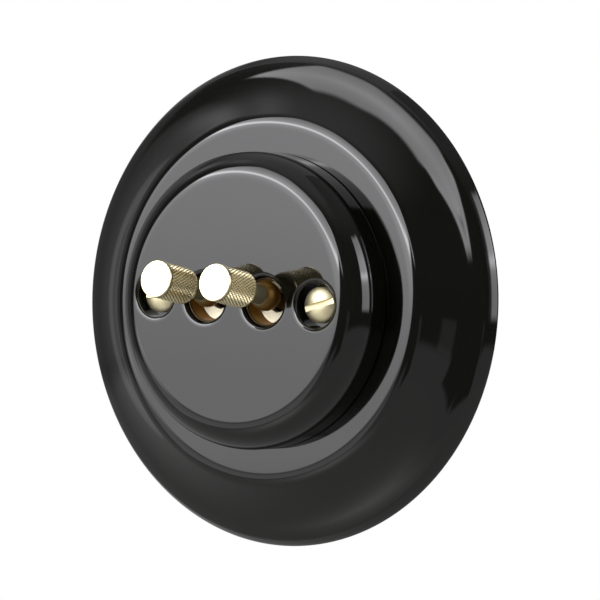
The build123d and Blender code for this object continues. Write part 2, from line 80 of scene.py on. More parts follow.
def new_piece(name, add_primitive, **options):
    """Adds a primitive with nothing else selected, and names it."""
    bpy.ops.object.select_all(action="DESELECT")
    add_primitive(**options)
    piece = bpy.context.object
    piece.name = name
    piece.data.name = name
    return piece


def close_mesh(capped):
    """In edit mode: fills open ends if asked, points all faces outwards, and leaves edit mode."""
    if capped:
        bpy.ops.mesh.fill_holes(sides=0)
        bpy.ops.mesh.select_all(action="SELECT")
    bpy.ops.mesh.normals_make_consistent(inside=False)
    bpy.ops.object.mode_set(mode="OBJECT")


def turned(name, profile, steps, capped=False):
    """A profile in millimetres, spun round Z. Ends that stay open can be capped with one flat face each."""
    piece = new_piece(name, bpy.ops.mesh.primitive_plane_add, size=MM)
    bpy.ops.object.mode_set(mode="EDIT")
    bpy.ops.mesh.select_mode(type="VERT")
    bpy.ops.mesh.merge(type="CENTER")
    bpy.ops.transform.translate(value=(profile[0][0] * MM, 0, profile[0][1] * MM))
    for (r0, h0), (r1, h1) in zip(profile, profile[1:]):
        move = ((r1 - r0) * MM, 0, (h1 - h0) * MM)
        bpy.ops.mesh.extrude_region_move(TRANSFORM_OT_translate={"value": move})
    bpy.ops.mesh.select_all(action="SELECT")
    bpy.ops.mesh.spin(steps=steps, angle=2 * math.pi, center=(0, 0, 0), axis=(0, 0, 1))
    bpy.ops.mesh.select_all(action="SELECT")
    bpy.ops.mesh.remove_doubles(threshold=MERGE_DISTANCE * MM)
    close_mesh(capped)
    bpy.ops.object.shade_smooth()
    return piece


# %% [markdown]
# ## Laying over, copying and cutting
#
# A few steps come back for nearly every piece. Operators act on all that is selected, so each helper
# starts by selecting only the piece that it works on. A finished piece is laid over so that its axis
# points out of the wall, and that turn is applied, so the place ends up in the mesh.


# %% Workshop helpers
def make_active(piece):
    """Selects one piece and nothing else."""
    bpy.ops.object.select_all(action="DESELECT")
    piece.select_set(True)
    bpy.context.view_layer.objects.active = piece


def copy_of(piece, name):
    """A copy with a mesh of its own."""
    make_active(piece)
    bpy.ops.object.duplicate(linked=False)
    twin = bpy.context.object
    twin.name = name
    twin.data.name = name
    return twin


def stand_out(piece, place=(0, 0, 0), tilt=0.0):
    """Lays the lathe axis out of the wall, tilted up by some degrees, at a place in millimetres."""
    make_active(piece)
    piece.rotation_euler = (math.radians(90 - tilt), 0, 0)
    piece.location = Vector(place) * MM
    bpy.ops.object.transform_apply(location=True, rotation=True, scale=True)


def apply_modifier(piece, kind, **settings):
    """Adds a modifier with its settings and applies it."""
    make_active(piece)
    modifier = piece.modifiers.new(kind.lower(), kind)
    for key, value in settings.items():
        setattr(modifier, key, value)
    bpy.ops.object.modifier_apply(modifier=modifier.name)


def cut(piece, cutter):
    """Takes the cutter's shape out of the piece and removes the cutter."""
    apply_modifier(piece, "BOOLEAN", operation="DIFFERENCE", solver="EXACT", object=cutter)
    bpy.data.objects.remove(cutter)


# %% [markdown]
# ## The frame
#
# The frame is one porcelain ring. Its rim is rounded down to the wall, an ogee climbs from the rim to a
# raised flat ring, and the cover stands on that flat. A stack of bevelled cylinders would come close.
# But the glaze mirrors its surroundings, and a reflection breaks at every kink, so the profile is drawn
# with arcs and smooth curves, finely divided. It runs from the flat outwards, and every stretch starts
# where the one before it ends, at the same slope.

# %% Frame profile
RING_HEIGHT = 9.0
RING_FLAT = 34.8
RING_EDGE = 5.5
EDGE_SLOPE = 35.0
DIP = (46.2, 3.5)
DIP_SLOPE = 19.0
CROWN = 19.6
CROWN_SLOPE = 26.0
CORNER = 1.5
FLANK_SLOPE = 54.0
RIM_EDGE = (50.0, 0.4)
RIM_EDGE_SLOPE = 72.0
RIM_FOOT = 0.2


def ogee(start, start_slope, end, end_slope, steps):
    """A smooth curve between two points, with its falls at both ends in degrees."""
    length = math.dist(start, end)
    falls = [math.radians(slope) for slope in (start_slope, end_slope)]
    first, last = [(length * math.cos(fall), -length * math.sin(fall)) for fall in falls]
    points = []
    for i in range(steps + 1):
        t = i / steps
        weights = (2 * t**3 - 3 * t**2 + 1, t**3 - 2 * t**2 + t, 3 * t**2 - 2 * t**3, t**3 - t**2)
        pulls = (start, first, end, last)
        points.append(tuple(sum(w * pull[k] for w, pull in zip(weights, pulls)) for k in (0, 1)))
    return points


def rounded(start, radius, start_slope, end_slope, steps):
    """An arc that goes on from a point and steepens from one fall to another, in degrees."""
    fall = math.radians(start_slope)
    centre = (start[0] - radius * math.sin(fall), start[1] - radius * math.cos(fall))
    return arc(centre, radius, 90 - start_slope, 90 - end_slope, steps)


ring_edge = arc((RING_FLAT, RING_HEIGHT - RING_EDGE), RING_EDGE, 90, 90 - EDGE_SLOPE, 24)
climb = ogee(ring_edge[-1], EDGE_SLOPE, DIP, DIP_SLOPE, 40)
crown = rounded(DIP, CROWN, DIP_SLOPE, CROWN_SLOPE, 14)
corner = rounded(crown[-1], CORNER, CROWN_SLOPE, FLANK_SLOPE, 16)
flank = ogee(corner[-1], FLANK_SLOPE, RIM_EDGE, RIM_EDGE_SLOPE, 20)
foot = arc((RIM_EDGE[0] - RIM_FOOT, RIM_FOOT), RIM_FOOT, 0, -90, 6)
frame_front = ring_edge + climb[1:-1] + crown + corner[1:] + flank[1:] + foot
print("front of the frame:", len(frame_front), "points")

# %% [markdown]
# The back of the frame is plain. It is hollow behind the rim, has a step for the mounting plate, and
# opens in the middle for the switch. With this the profile is closed and can be spun. Weighted normals
# keep the flat ring flat in the reflections, although its edges are shaded smoothly.

# %% Frame
OPENING = 26.4
OPENING_EDGE = 0.3
FLAT_MARGIN = 0.6
BACK_HOLLOW = (42.5, 2.2)
PLATE_STEP = (37.0, 4.8)
STEP_EDGE = 0.2
PORCELAIN_STEPS = 320

frame_profile = [(OPENING + OPENING_EDGE, RING_HEIGHT), (RING_FLAT - FLAT_MARGIN, RING_HEIGHT)] + frame_front
frame_profile += [(BACK_HOLLOW[0], 0.0), BACK_HOLLOW, (PLATE_STEP[0], BACK_HOLLOW[1])]
frame_profile += [(PLATE_STEP[0], PLATE_STEP[1] - STEP_EDGE), (PLATE_STEP[0] - STEP_EDGE, PLATE_STEP[1])]
frame_profile += [(OPENING, PLATE_STEP[1]), (OPENING, RING_HEIGHT - OPENING_EDGE)]
frame_profile += arc((OPENING + OPENING_EDGE, RING_HEIGHT - OPENING_EDGE), OPENING_EDGE, 180, 90, 5)[1:]
frame_shell = turned("frame_shell", frame_profile, PORCELAIN_STEPS)
stand_out(frame_shell)
apply_modifier(frame_shell, "WEIGHTED_NORMAL", weight=100)
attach(frame_shell, "switch")
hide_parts("frame_ring")
print("frame faces:", len(frame_shell.data.polygons))

# %% [markdown]
# ## The cover
#
# The cover is a cap with a flat face, a round shoulder and a straight wall that stands on the frame's
# flat ring. A cylinder with a bevelled edge could become such a cap. It is turned instead, so that its
# inside comes with it, and its flat face is filled with one single face, which no ring of edges disturbs.

# %% Cover cap
FACE = 19.0
FACE_MARGIN = 0.5
COVER_RADIUS = 30.0
SHOULDER = 5.8
WALL_FOOT = 0.6
CAVITY_TOP = 14.0
CAVITY_RADIUS = 26.2
CAVITY_CORNER = 2.0

cavity_wall = CAVITY_TOP - CAVITY_CORNER
cover_profile = [(COVER_RADIUS - SHOULDER - FACE_MARGIN, FACE)]
cover_profile += arc((COVER_RADIUS - SHOULDER, FACE - SHOULDER), SHOULDER, 90, 0, 48)
cover_profile += arc((COVER_RADIUS - WALL_FOOT, RING_HEIGHT + WALL_FOOT), WALL_FOOT, 0, -90, 8)
cover_profile += [(CAVITY_RADIUS, RING_HEIGHT), (CAVITY_RADIUS, cavity_wall)]
cover_profile += arc((CAVITY_RADIUS - CAVITY_CORNER, cavity_wall), CAVITY_CORNER, 0, 90, 8)[1:]
cover_shell = turned("cover_shell", cover_profile, PORCELAIN_STEPS, capped=True)
print("cap faces:", len(cover_shell.data.polygons))

# %% [markdown]
# Four holes go through the face, for two screws and two toggles. They are cut with flared cutters
# instead of being bevelled afterwards, because a bevel on a cut mesh is easily torn. Glaze never holds
# a sharp edge, so the flare starts with a wide, gentle arc and ends in a tight one. The gentle arc
# catches the bright line that lies round each hole.

# %% Cover holes
SIDES = {"left": -1, "right": 1}
SCREW_X = 19.55
TOGGLE_X = 7.1
HOLE_EDGE = 0.45
HOLE_LEAD = 2.4
HOLE_LEAD_SLOPE = 17.0
SCREW_RECESS = (4.55, 2.6)
SCREW_BORE = 2.1
TOGGLE_RECESS = (5.0, 3.2)
TOGGLE_BORE = 4.7
CUTTER_SPARE = 1.0
CUTTER_LIFT = 0.002
CUTTER_STEPS = 128


def hole_cutter(x, recess, through):
    """A stepped round cutter, longer than the hole at both ends and flared where it leaves the face."""
    radius, depth = recess
    slope = math.radians(HOLE_LEAD_SLOPE)
    top = FACE + CUTTER_LIFT
    lead_centre = (radius + HOLE_EDGE + (HOLE_LEAD - HOLE_EDGE) * math.sin(slope), top - HOLE_LEAD)
    edge_centre = (radius + HOLE_EDGE, top - HOLE_LEAD + (HOLE_LEAD - HOLE_EDGE) * math.cos(slope))
    steps = [(lead_centre[0], FACE + CUTTER_SPARE)]
    steps += arc(lead_centre, HOLE_LEAD, 90, 90 + HOLE_LEAD_SLOPE, 9)
    steps += arc(edge_centre, HOLE_EDGE, 90 + HOLE_LEAD_SLOPE, 180, 9)[1:]
    steps += [(radius, FACE - depth), (through, FACE - depth), (through, CAVITY_TOP - CUTTER_SPARE)]
    cutter = turned("cutter", steps, CUTTER_STEPS, capped=True)
    cutter.location.x = x * MM
    return cutter


for side in SIDES.values():
    cut(cover_shell, hole_cutter(side * SCREW_X, SCREW_RECESS, SCREW_BORE))
    cut(cover_shell, hole_cutter(side * TOGGLE_X, TOGGLE_RECESS, TOGGLE_BORE))
stand_out(cover_shell)
bpy.ops.object.shade_smooth_by_angle(angle=math.radians(35))
apply_modifier(cover_shell, "WEIGHTED_NORMAL", weight=100, keep_sharp=True)
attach(cover_shell, "switch")
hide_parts("cover")
print("cover faces:", len(cover_shell.data.polygons))

# %% [markdown]
# ## The cover screws
#
# Two brass screws with low domed heads sit in the outer holes. The head and shank are turned in one. The
# slot could be a dark stripe in the finish, but a real one shades itself from every side, so it is cut
# across the dome, and its edges are broken with a small bevel so that they catch the light. A fitter
# seldom leaves two slots at the same angle, and here each is turned as the photo shows it.

# %% Cover screws
SCREW_SEAT = 16.4
HEAD_RADIUS = 3.55
HEAD_RIM = 0.8
HEAD_DOME = 1.3
SHANK_RADIUS = 1.75
SHANK_END = 5.4
SHANK_CHAMFER = 0.2
SLOT_WIDTH = 1.1
SLOT_DEPTH = 1.2
SLOT_BEVEL = 0.09
SCREW_STEPS = 96
SLOT_TURNS = {"left": 2.0, "right": 18.0}

head_top = SCREW_SEAT + HEAD_RIM + HEAD_DOME
dome_radius = (HEAD_RADIUS**2 + HEAD_DOME**2) / (2 * HEAD_DOME)
dome_angle = math.degrees(math.asin(HEAD_RADIUS / dome_radius))
screw_profile = arc((0, head_top - dome_radius), dome_radius, 90, 90 - dome_angle, 20)
screw_profile += [(HEAD_RADIUS, SCREW_SEAT), (SHANK_RADIUS, SCREW_SEAT)]
screw_profile += [(SHANK_RADIUS, SHANK_END + SHANK_CHAMFER), (SHANK_RADIUS - SHANK_CHAMFER, SHANK_END)]
screw_profile += [(0, SHANK_END)]
screws = []
for name, slot_turn in SLOT_TURNS.items():
    screw = turned("cover_screw", screw_profile, SCREW_STEPS)
    slot_blade = new_piece("cutter", bpy.ops.mesh.primitive_cube_add, size=MM)
    slot_blade.scale = (3 * HEAD_RADIUS, SLOT_WIDTH, 2 * SLOT_DEPTH)
    slot_blade.rotation_euler.z = math.radians(slot_turn)
    slot_blade.location.z = head_top * MM
    cut(screw, slot_blade)
    sharp = {"limit_method": "ANGLE", "angle_limit": math.radians(40)}
    apply_modifier(screw, "BEVEL", width=SLOT_BEVEL * MM, segments=2, **sharp)
    screw.location.x = SIDES[name] * SCREW_X * MM
    make_active(screw)
    bpy.ops.object.transform_apply(location=True)
    bpy.ops.object.shade_smooth_by_angle(angle=math.radians(30))
    screws.append(screw)
make_active(screws[0])
screws[1].select_set(True)
bpy.ops.object.join()
cover_screw_pair = screws[0]
cover_screw_pair.name = "cover_screw_pair"
stand_out(cover_screw_pair)
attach(cover_screw_pair, "switch")
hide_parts("cover_screws")
print("screw faces:", len(cover_screw_pair.data.polygons))

# %% [markdown]
# ## The ferrules
#
# A brass cup sits in each toggle hole, so that the toggle stands in a small round well. A thin surface
# with a Solidify modifier would have one even thickness. The cup is turned from a closed profile, which
# gives it a rolled rim, a wall that narrows a little, and a flat floor round the lever.

# %% Ferrules
CUP_RADIUS = 4.9
CUP_RIM = 17.8
CUP_LIP = 0.2
CUP_SEAT = 15.8
CUP_NECK = 4.6
CUP_FLOOR = 13.5
CUP_WELL = 4.2
CUP_WELL_RISE = 0.25
CUP_BORE = 2.0
CUP_BORE_EDGE = 0.1
CUP_END = 12.3
CUP_STEPS = 128

cup_profile = [(CUP_NECK, CUP_END), (CUP_NECK, CUP_SEAT), (CUP_RADIUS, CUP_SEAT)]
cup_profile += arc((CUP_RADIUS - CUP_LIP, CUP_RIM - CUP_LIP), CUP_LIP, 0, 180, 8)
cup_profile += arc((CUP_WELL, CUP_FLOOR + CUP_WELL_RISE), CUP_LIP, 0, -90, 4)
cup_profile += [(CUP_WELL - CUP_LIP, CUP_FLOOR), (CUP_BORE + CUP_BORE_EDGE, CUP_FLOOR)]
cup_profile += [(CUP_BORE, CUP_FLOOR - CUP_BORE_EDGE), (CUP_BORE, CUP_END), (CUP_NECK, CUP_END)]
cup = turned("cup_left", cup_profile, CUP_STEPS)
cups = {"left": cup, "right": copy_of(cup, "cup_right")}
for name, side in SIDES.items():
    stand_out(cups[name], (side * TOGGLE_X, 0, 0))
    bpy.ops.object.shade_smooth_by_angle(angle=math.radians(40))
    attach(cups[name], "switch")
    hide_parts("ferrule_" + name)
print("cup faces:", len(cup.data.polygons))

# %% [markdown]
# ## The knurl
#
# Each toggle ends in a brass knob with a flat polished tip and a diamond knurl, which gives the fingers
# a hold. A bump in the finish would leave the knob's outline smooth, so the knurl is real geometry. A
# plain sleeve of oblong faces is spun, and every face is poked to get its centre, which is then pushed
# out onto the round. The old edges are dissolved, which leaves diamonds that lie point to point. Each
# diamond is then inset and raised to a blunt pyramid.

# %% Knurl
KNOB_START = 16.1
KNOB_END = 26.0
KNOB_RADIUS = 3.7
INNER_ROUND = 0.8
TIP_BAND = 0.85
KNURL_STARTS = 36
KNURL_ROWS = 7
KNURL_DEPTH = 0.26
KNURL_FLANK = 0.25
KNURL = (KNOB_START + INNER_ROUND, KNOB_END - TIP_BAND)

knurl_pitch = (KNURL[1] - KNURL[0]) / KNURL_ROWS
valley = KNOB_RADIUS - KNURL_DEPTH
sleeve = turned("knurl", [(valley, KNURL[0] + knurl_pitch * i) for i in range(KNURL_ROWS + 1)], KNURL_STARTS)
corners = len(sleeve.data.vertices)
bpy.ops.object.mode_set(mode="EDIT")
bpy.ops.mesh.select_all(action="SELECT")
if sleeve.data.polygons[0].normal.dot(sleeve.data.polygons[0].center) < 0:
    bpy.ops.mesh.flip_normals()
bpy.ops.mesh.poke()
bpy.ops.mesh.select_all(action="DESELECT")
bpy.ops.object.mode_set(mode="OBJECT")
for point in sleeve.data.vertices[corners:]:
    reach = math.hypot(point.co.x, point.co.y)
    point.co.x *= valley * MM / reach
    point.co.y *= valley * MM / reach
edge_uses = {}
for face in sleeve.data.polygons:
    for key in face.edge_keys:
        edge_uses[key] = edge_uses.get(key, 0) + 1
for edge in sleeve.data.edges:
    edge.select = max(edge.vertices) < corners and edge_uses[edge.key] == 2
bpy.ops.object.mode_set(mode="EDIT")
bpy.ops.mesh.select_mode(type="EDGE")
bpy.ops.mesh.dissolve_edges(use_verts=False)
bpy.ops.mesh.select_mode(type="FACE")
bpy.ops.mesh.select_all(action="SELECT")
bpy.ops.mesh.inset(
    thickness=KNURL_FLANK * MM, depth=KNURL_DEPTH * MM, use_individual=True, use_boundary=True
)
bpy.ops.object.mode_set(mode="OBJECT")
bpy.ops.object.shade_flat()
print("knurl faces:", len(sleeve.data.polygons))

# %% [markdown]
# ## The knobs
#
# A turned core fills the sleeve and carries the round inner end and the flat tip. The knurl is coloured
# darker in its grooves and brighter on its points. A mask for that could be painted on by hand. Here the
# depth of each vertex says it already, so it is stored as an attribute, and the knob's finish reads it.
# The right knob is a copy of the left one.

# %% Knobs
PIVOT = 9.7
TILT = 8.0
KNOB_BORE = 2.03
INNER_SET = 0.15
TIP_ROUND = 0.25
CORE_GAP = 0.03
CORE_OVERLAP = 0.05
KNURL_MARGIN = 0.01
KNOB_STEPS = 96

inner_centre = (KNOB_RADIUS - INNER_SET - INNER_ROUND, KNOB_START + INNER_ROUND)
core_profile = [(KNOB_BORE, KNOB_START)] + arc(inner_centre, INNER_ROUND, -90, 0, 8)
core_profile += [(valley - CORE_GAP, KNURL[0] + CORE_OVERLAP), (valley - CORE_GAP, KNURL[1] - CORE_OVERLAP)]
core_profile += [(KNOB_RADIUS, KNURL[1] + CORE_OVERLAP)]
core_profile += arc((KNOB_RADIUS - TIP_ROUND, KNOB_END - TIP_ROUND), TIP_ROUND, 0, 90, 6)
core = turned("knob_left_body", core_profile, KNOB_STEPS, capped=True)
bpy.ops.object.shade_smooth_by_angle(angle=math.radians(35))
apply_modifier(core, "WEIGHTED_NORMAL", weight=100, keep_sharp=True)
make_active(core)
sleeve.select_set(True)
bpy.ops.object.join()
# Each vertex stores its height on the knurl: 1 on the points, 0 in the grooves, and 1 off the knurl.
knurl_height = core.data.attributes.new("knurl_height", "FLOAT", "POINT")
for point, point_height in zip(core.data.vertices, knurl_height.data):
    depth = KNOB_RADIUS - math.hypot(point.co.x, point.co.y) / MM
    knurled = KNURL[0] + KNURL_MARGIN < point.co.z / MM < KNURL[1] - KNURL_MARGIN
    point_height.value = 1 - depth / KNURL_DEPTH if knurled else 1.0
knob_bodies = {"left": core, "right": copy_of(core, "knob_right_body")}
for name, side in SIDES.items():
    stand_out(knob_bodies[name], (side * TOGGLE_X, -PIVOT, 0), TILT)
    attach(knob_bodies[name], "toggle_" + name)
    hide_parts("knob_" + name)
print("knob faces:", len(core.data.polygons))

# %% [markdown]
# ## The springs
#
# A coil spring sits inside each lever's tail and pushes the plunger out. A curve with a round bevel could
# follow a helix. A circle beside the axis is simpler: a Screw modifier winds it into a coil with a given
# pitch and number of turns. One end of a spring stays with the lever and the other end goes with the
# plunger. Here each coil is only put in its place, at one fixed length.

# %% Springs
SPRING_WIRE = 0.36
SPRING_RADIUS = 1.14
SPRING_TURNS = 4
SPRING_STEPS = 32
WIRE_SIDES = 12
SPRING_ENDS = (-5.02, -2.98)

coil = new_piece(
    "coil_left", bpy.ops.mesh.primitive_circle_add, vertices=WIRE_SIDES, radius=SPRING_WIRE / 2 * MM
)
coil.rotation_euler.y = math.radians(90)
coil.location = (0, -SPRING_RADIUS * MM, SPRING_ENDS[0] * MM)
bpy.ops.object.transform_apply(location=True, rotation=True)
winding = {"screw_offset": (SPRING_ENDS[1] - SPRING_ENDS[0]) / SPRING_TURNS * MM, "iterations": SPRING_TURNS}
apply_modifier(coil, "SCREW", steps=SPRING_STEPS, render_steps=SPRING_STEPS, **winding)
bpy.ops.object.mode_set(mode="EDIT")
bpy.ops.mesh.select_all(action="SELECT")
close_mesh(capped=True)
bpy.ops.object.shade_smooth_by_angle(angle=math.radians(40))
coils = {"left": coil, "right": copy_of(coil, "coil_right")}
for name, side in SIDES.items():
    pivot = Vector((side * TOGGLE_X, -PIVOT, 0))
    stand_out(coils[name], pivot, TILT)
    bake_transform(coils[name])
    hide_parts("spring_" + name)
print("coil faces:", len(coil.data.polygons))

# %% [markdown]
# ## Finishes
#
# The porcelain is black under a clear, very smooth glaze that pulls into faint waves as it melts. The
# brass is polished where hands reach it, and brown in the cups, partly with age and partly with painted
# shade. No surface is quite even. An image could show that, but every mesh would have to be unwrapped
# for it. Noise on the mesh's own coordinates needs no unwrapping, so one node group holds it, and each
# material gives it its own scale.


# %% Shared unevenness
def unevenness_group():
    """Broad and fine noise on Object coordinates, as a mask for colour and a height for bump."""
    group = bpy.data.node_groups.new("surface_unevenness", "ShaderNodeTree")
    for socket, default in (("Broad Scale", 80.0), ("Fine Scale", 900.0)):
        scale_input = group.interface.new_socket(socket, in_out="INPUT", socket_type="NodeSocketFloat")
        scale_input.default_value = default
    for socket in ("Broad", "Fine"):
        group.interface.new_socket(socket, in_out="OUTPUT", socket_type="NodeSocketFloat")
    entry = group.nodes.new("NodeGroupInput")
    leave = group.nodes.new("NodeGroupOutput")
    place = group.nodes.new("ShaderNodeTexCoord")
    for socket, detail in (("Broad", 1.0), ("Fine", 4.0)):
        noise = group.nodes.new("ShaderNodeTexNoise")
        noise.inputs["Detail"].default_value = detail
        group.links.new(place.outputs["Object"], noise.inputs["Vector"])
        group.links.new(entry.outputs[socket + " Scale"], noise.inputs["Scale"])
        group.links.new(noise.outputs["Fac"], leave.inputs[socket])
    return group


UNEVENNESS = unevenness_group()
print("group outputs:", [item.name for item in UNEVENNESS.interface.items_tree if item.in_out == "OUTPUT"])

# %% [markdown]
# Every finish starts the same way: a Principled shader with the group beside it. What differs is how the
# group's values reach the shader, so there is one small helper for each way: a range for roughness, a
# blend of two colours, colours by height in front of the wall, and a bump. Most of the noise lies in the
# middle of its range, so the roughness is spread over that middle.

# %% Material helpers
NOISE_RANGE = (0.3, 0.7)


def new_material(name, broad_scale, fine_scale, **settings):
    """A Principled material with the shared unevenness beside it, ready to be linked."""
    material = bpy.data.materials.new(name)
    material.use_nodes = True
    tree = material.node_tree
    shader = tree.nodes["Principled BSDF"]
    for socket, value in settings.items():
        shader.inputs[socket].default_value = value
    uneven = tree.nodes.new("ShaderNodeGroup")
    uneven.node_tree = UNEVENNESS
    uneven.inputs["Broad Scale"].default_value = broad_scale
    uneven.inputs["Fine Scale"].default_value = fine_scale
    return material, tree, shader, uneven


def link_range(tree, source, target, low, high):
    """Spreads the noise over a range on its way to a socket."""
    spread = tree.nodes.new("ShaderNodeMapRange")
    spread.inputs["From Min"].default_value = NOISE_RANGE[0]
    spread.inputs["From Max"].default_value = NOISE_RANGE[1]
    spread.inputs["To Min"].default_value = low
    spread.inputs["To Max"].default_value = high
    tree.links.new(source, spread.inputs["Value"])
    tree.links.new(spread.outputs["Result"], target)


def link_colours(tree, source, target, first, second, low=0.35, high=0.65):
    """Blends two colours by a value on its way to a socket."""
    ramp = tree.nodes.new("ShaderNodeValToRGB")
    ramp.color_ramp.elements[0].position = low
    ramp.color_ramp.elements[1].position = high
    ramp.color_ramp.elements[0].color = (*first, 1)
    ramp.color_ramp.elements[1].color = (*second, 1)
    tree.links.new(source, ramp.inputs["Fac"])
    tree.links.new(ramp.outputs["Color"], target)


def link_heights(tree, target, stops):
    """Colours a piece by its height in front of the wall, from stops in millimetres."""
    place = tree.nodes.new("ShaderNodeTexCoord")
    split = tree.nodes.new("ShaderNodeSeparateXYZ")
    spread = tree.nodes.new("ShaderNodeMapRange")
    spread.inputs["From Min"].default_value = -stops[0][0] * MM
    spread.inputs["From Max"].default_value = -stops[-1][0] * MM
    ramp = tree.nodes.new("ShaderNodeValToRGB")
    for stop in stops[1:-1]:
        ramp.color_ramp.elements.new(0.5)
    for element, (stop, colour) in zip(ramp.color_ramp.elements, stops):
        element.position = (stop - stops[0][0]) / (stops[-1][0] - stops[0][0])
        element.color = (*colour, 1)
    tree.links.new(place.outputs["Object"], split.inputs["Vector"])
    tree.links.new(split.outputs["Y"], spread.inputs["Value"])
    tree.links.new(spread.outputs["Result"], ramp.inputs["Fac"])
    tree.links.new(ramp.outputs["Color"], target)


def link_bump(tree, source, shader, distance):
    """Turns a height into a bump on the shader's normal."""
    bump = tree.nodes.new("ShaderNodeBump")
    bump.inputs["Distance"].default_value = distance
    bump.inputs["Strength"].default_value = 1.0
    tree.links.new(source, bump.inputs["Height"])
    tree.links.new(bump.outputs["Normal"], shader.inputs["Normal"])


# %% [markdown]
# ## Glaze and plain finishes
#
# Black glaze has almost no colour of its own. What shows is the room, so its base is close to black and
# its roughness very low. A clear coat over a black base would mirror the room twice, so there is none.
# The plate and the screws at the back are zinc plated steel, the base is a dark moulding and the plungers
# are nylon. These four finishes differ only in their values, so one loop makes them.

# %% Glaze and plain finishes
BUMP_HEIGHT = 0.02

glaze_colours = ((0.002, 0.002, 0.0013), (0.0028, 0.0028, 0.002))
steel_colours = ((0.5, 0.51, 0.53), (0.62, 0.62, 0.63))
moulding_colours = ((0.03, 0.026, 0.023), (0.045, 0.04, 0.036))
nylon_colours = ((0.8, 0.77, 0.68), (0.86, 0.84, 0.77))
plain = {}
for name, scales, colours, roughness, bumped_by, settings in (
    ("black_glaze", (55.0, 1500.0), glaze_colours, (0.03, 0.06), "Broad", {"IOR": 1.53}),
    ("zinc_steel", (200.0, 2000.0), steel_colours, (0.3, 0.45), None, {"Metallic": 1.0}),
    ("dark_moulding", (150.0, 3000.0), moulding_colours, (0.4, 0.55), "Fine", {}),
    ("pale_nylon", (150.0, 3000.0), nylon_colours, (0.4, 0.55), None, {}),
):
    plain[name], tree, shader, uneven = new_material(name, *scales, **settings)
    link_colours(tree, uneven.outputs["Broad"], shader.inputs["Base Color"], *colours)
    link_range(tree, uneven.outputs["Fine"], shader.inputs["Roughness"], *roughness)
    if bumped_by:
        link_bump(tree, uneven.outputs[bumped_by], shader, BUMP_HEIGHT * MM)
print("plain finishes:", ", ".join(plain))

# %% [markdown]
# ## Brass
#
# Five states of one metal. Inner pieces and the screws are bright, the knobs are bright on the points of
# the knurl, the cups are brown inside with a paler floor, and the levers are brown up to the neck. The
# brown of the cups and levers is partly aged brass and partly painted shade, the near-black rim of the
# cups is painted shade, and the dark neck of the levers is a painted reflection of the dark porcelain.
# Brown brass has a film on it that scatters light, so it is less metallic and rougher than bright brass. In
# cups and levers the colour changes along the axis, so a ramp by height does what a painted mask would.

# %% Brass
BRASS_SCALES = (300.0, 2500.0)
brass = {}
for name, colours, roughness in (
    ("polished_brass", ((0.75, 0.66, 0.4), (0.81, 0.72, 0.45)), (0.25, 0.35)),
    ("screw_brass", ((0.78, 0.7, 0.44), (0.84, 0.76, 0.5)), (0.36, 0.46)),
):
    brass[name], tree, shader, uneven = new_material(name, *BRASS_SCALES, Metallic=1.0)
    link_colours(tree, uneven.outputs["Broad"], shader.inputs["Base Color"], *colours)
    link_range(tree, uneven.outputs["Fine"], shader.inputs["Roughness"], *roughness)

brass["knurled_brass"], tree, shader, uneven = new_material("knurled_brass", *BRASS_SCALES, Metallic=1.0)
# The knurl is coloured darker in its grooves and brighter on its points, by the height stored on each
# vertex.
knurl_height = tree.nodes.new("ShaderNodeAttribute")
knurl_height.attribute_name = "knurl_height"
groove, ridge = (0.3, 0.2, 0.07), (0.98, 0.87, 0.56)
link_colours(tree, knurl_height.outputs["Fac"], shader.inputs["Base Color"], groove, ridge, 0.0, 0.4)
link_range(tree, uneven.outputs["Fine"], shader.inputs["Roughness"], 0.25, 0.35)

# The cup's brown wall is partly aged brass and partly painted shade, and its near-black rim is painted
# shade.
cup_floor, cup_wall_brown_and_shade, cup_rim_shade = (0.66, 0.62, 0.48), (0.4, 0.19, 0.025), (0.06, 0.04, 0.015)
# The lever's brown ball is partly aged brass and partly painted shade, and its dark neck is a painted
# reflection of the dark porcelain.
ball_brown_and_shade, neck_dark_reflection = (0.17, 0.085, 0.01), (0.19, 0.175, 0.1)
cup_stops = ((13.5, cup_floor), (13.65, cup_floor), (13.8, cup_wall_brown_and_shade), (17.3, cup_wall_brown_and_shade), (17.55, cup_rim_shade))
lever_stops = ((10.0, ball_brown_and_shade), (20.1, ball_brown_and_shade), (20.5, neck_dark_reflection))
for name, metallic, stops, roughness in (
    ("cup_brass", 0.7, cup_stops, (0.38, 0.48)),
    ("browned_and_shaded_brass", 0.6, lever_stops, (0.4, 0.5)),
):
    brass[name], tree, shader, uneven = new_material(name, *BRASS_SCALES, Metallic=metallic)
    link_heights(tree, shader.inputs["Base Color"], stops)
    link_range(tree, uneven.outputs["Fine"], shader.inputs["Roughness"], *roughness)
print("brass finishes:", ", ".join(brass))

# %% [markdown]
# ## Dressing the pieces
#
# The record says which slot each CAD node takes its finish from, so the nodes are dressed by that list.
# The new pieces have no material yet, and each gets its own.

# %% Dressing
finishes = {
    "porcelain": plain["black_glaze"],
    "brass": brass["polished_brass"],
    "dark_brass": brass["browned_and_shaded_brass"],
    "steel": plain["zinc_steel"],
    "moulding": plain["dark_moulding"],
    "nylon": plain["pale_nylon"],
}
for part in frame["record"]["subparts"]:
    nodes[part["node"]].material_slots[0].material = finishes[part["material_slot"]]
for material, pieces in (
    (plain["black_glaze"], (frame_shell, cover_shell)),
    (brass["knurled_brass"], knob_bodies.values()),
    (brass["cup_brass"], cups.values()),
    (brass["screw_brass"], (cover_screw_pair,)),
    (plain["zinc_steel"], coils.values()),
):
    for piece in pieces:
        piece.data.materials.append(material)
print("slots dressed:", ", ".join(finishes))

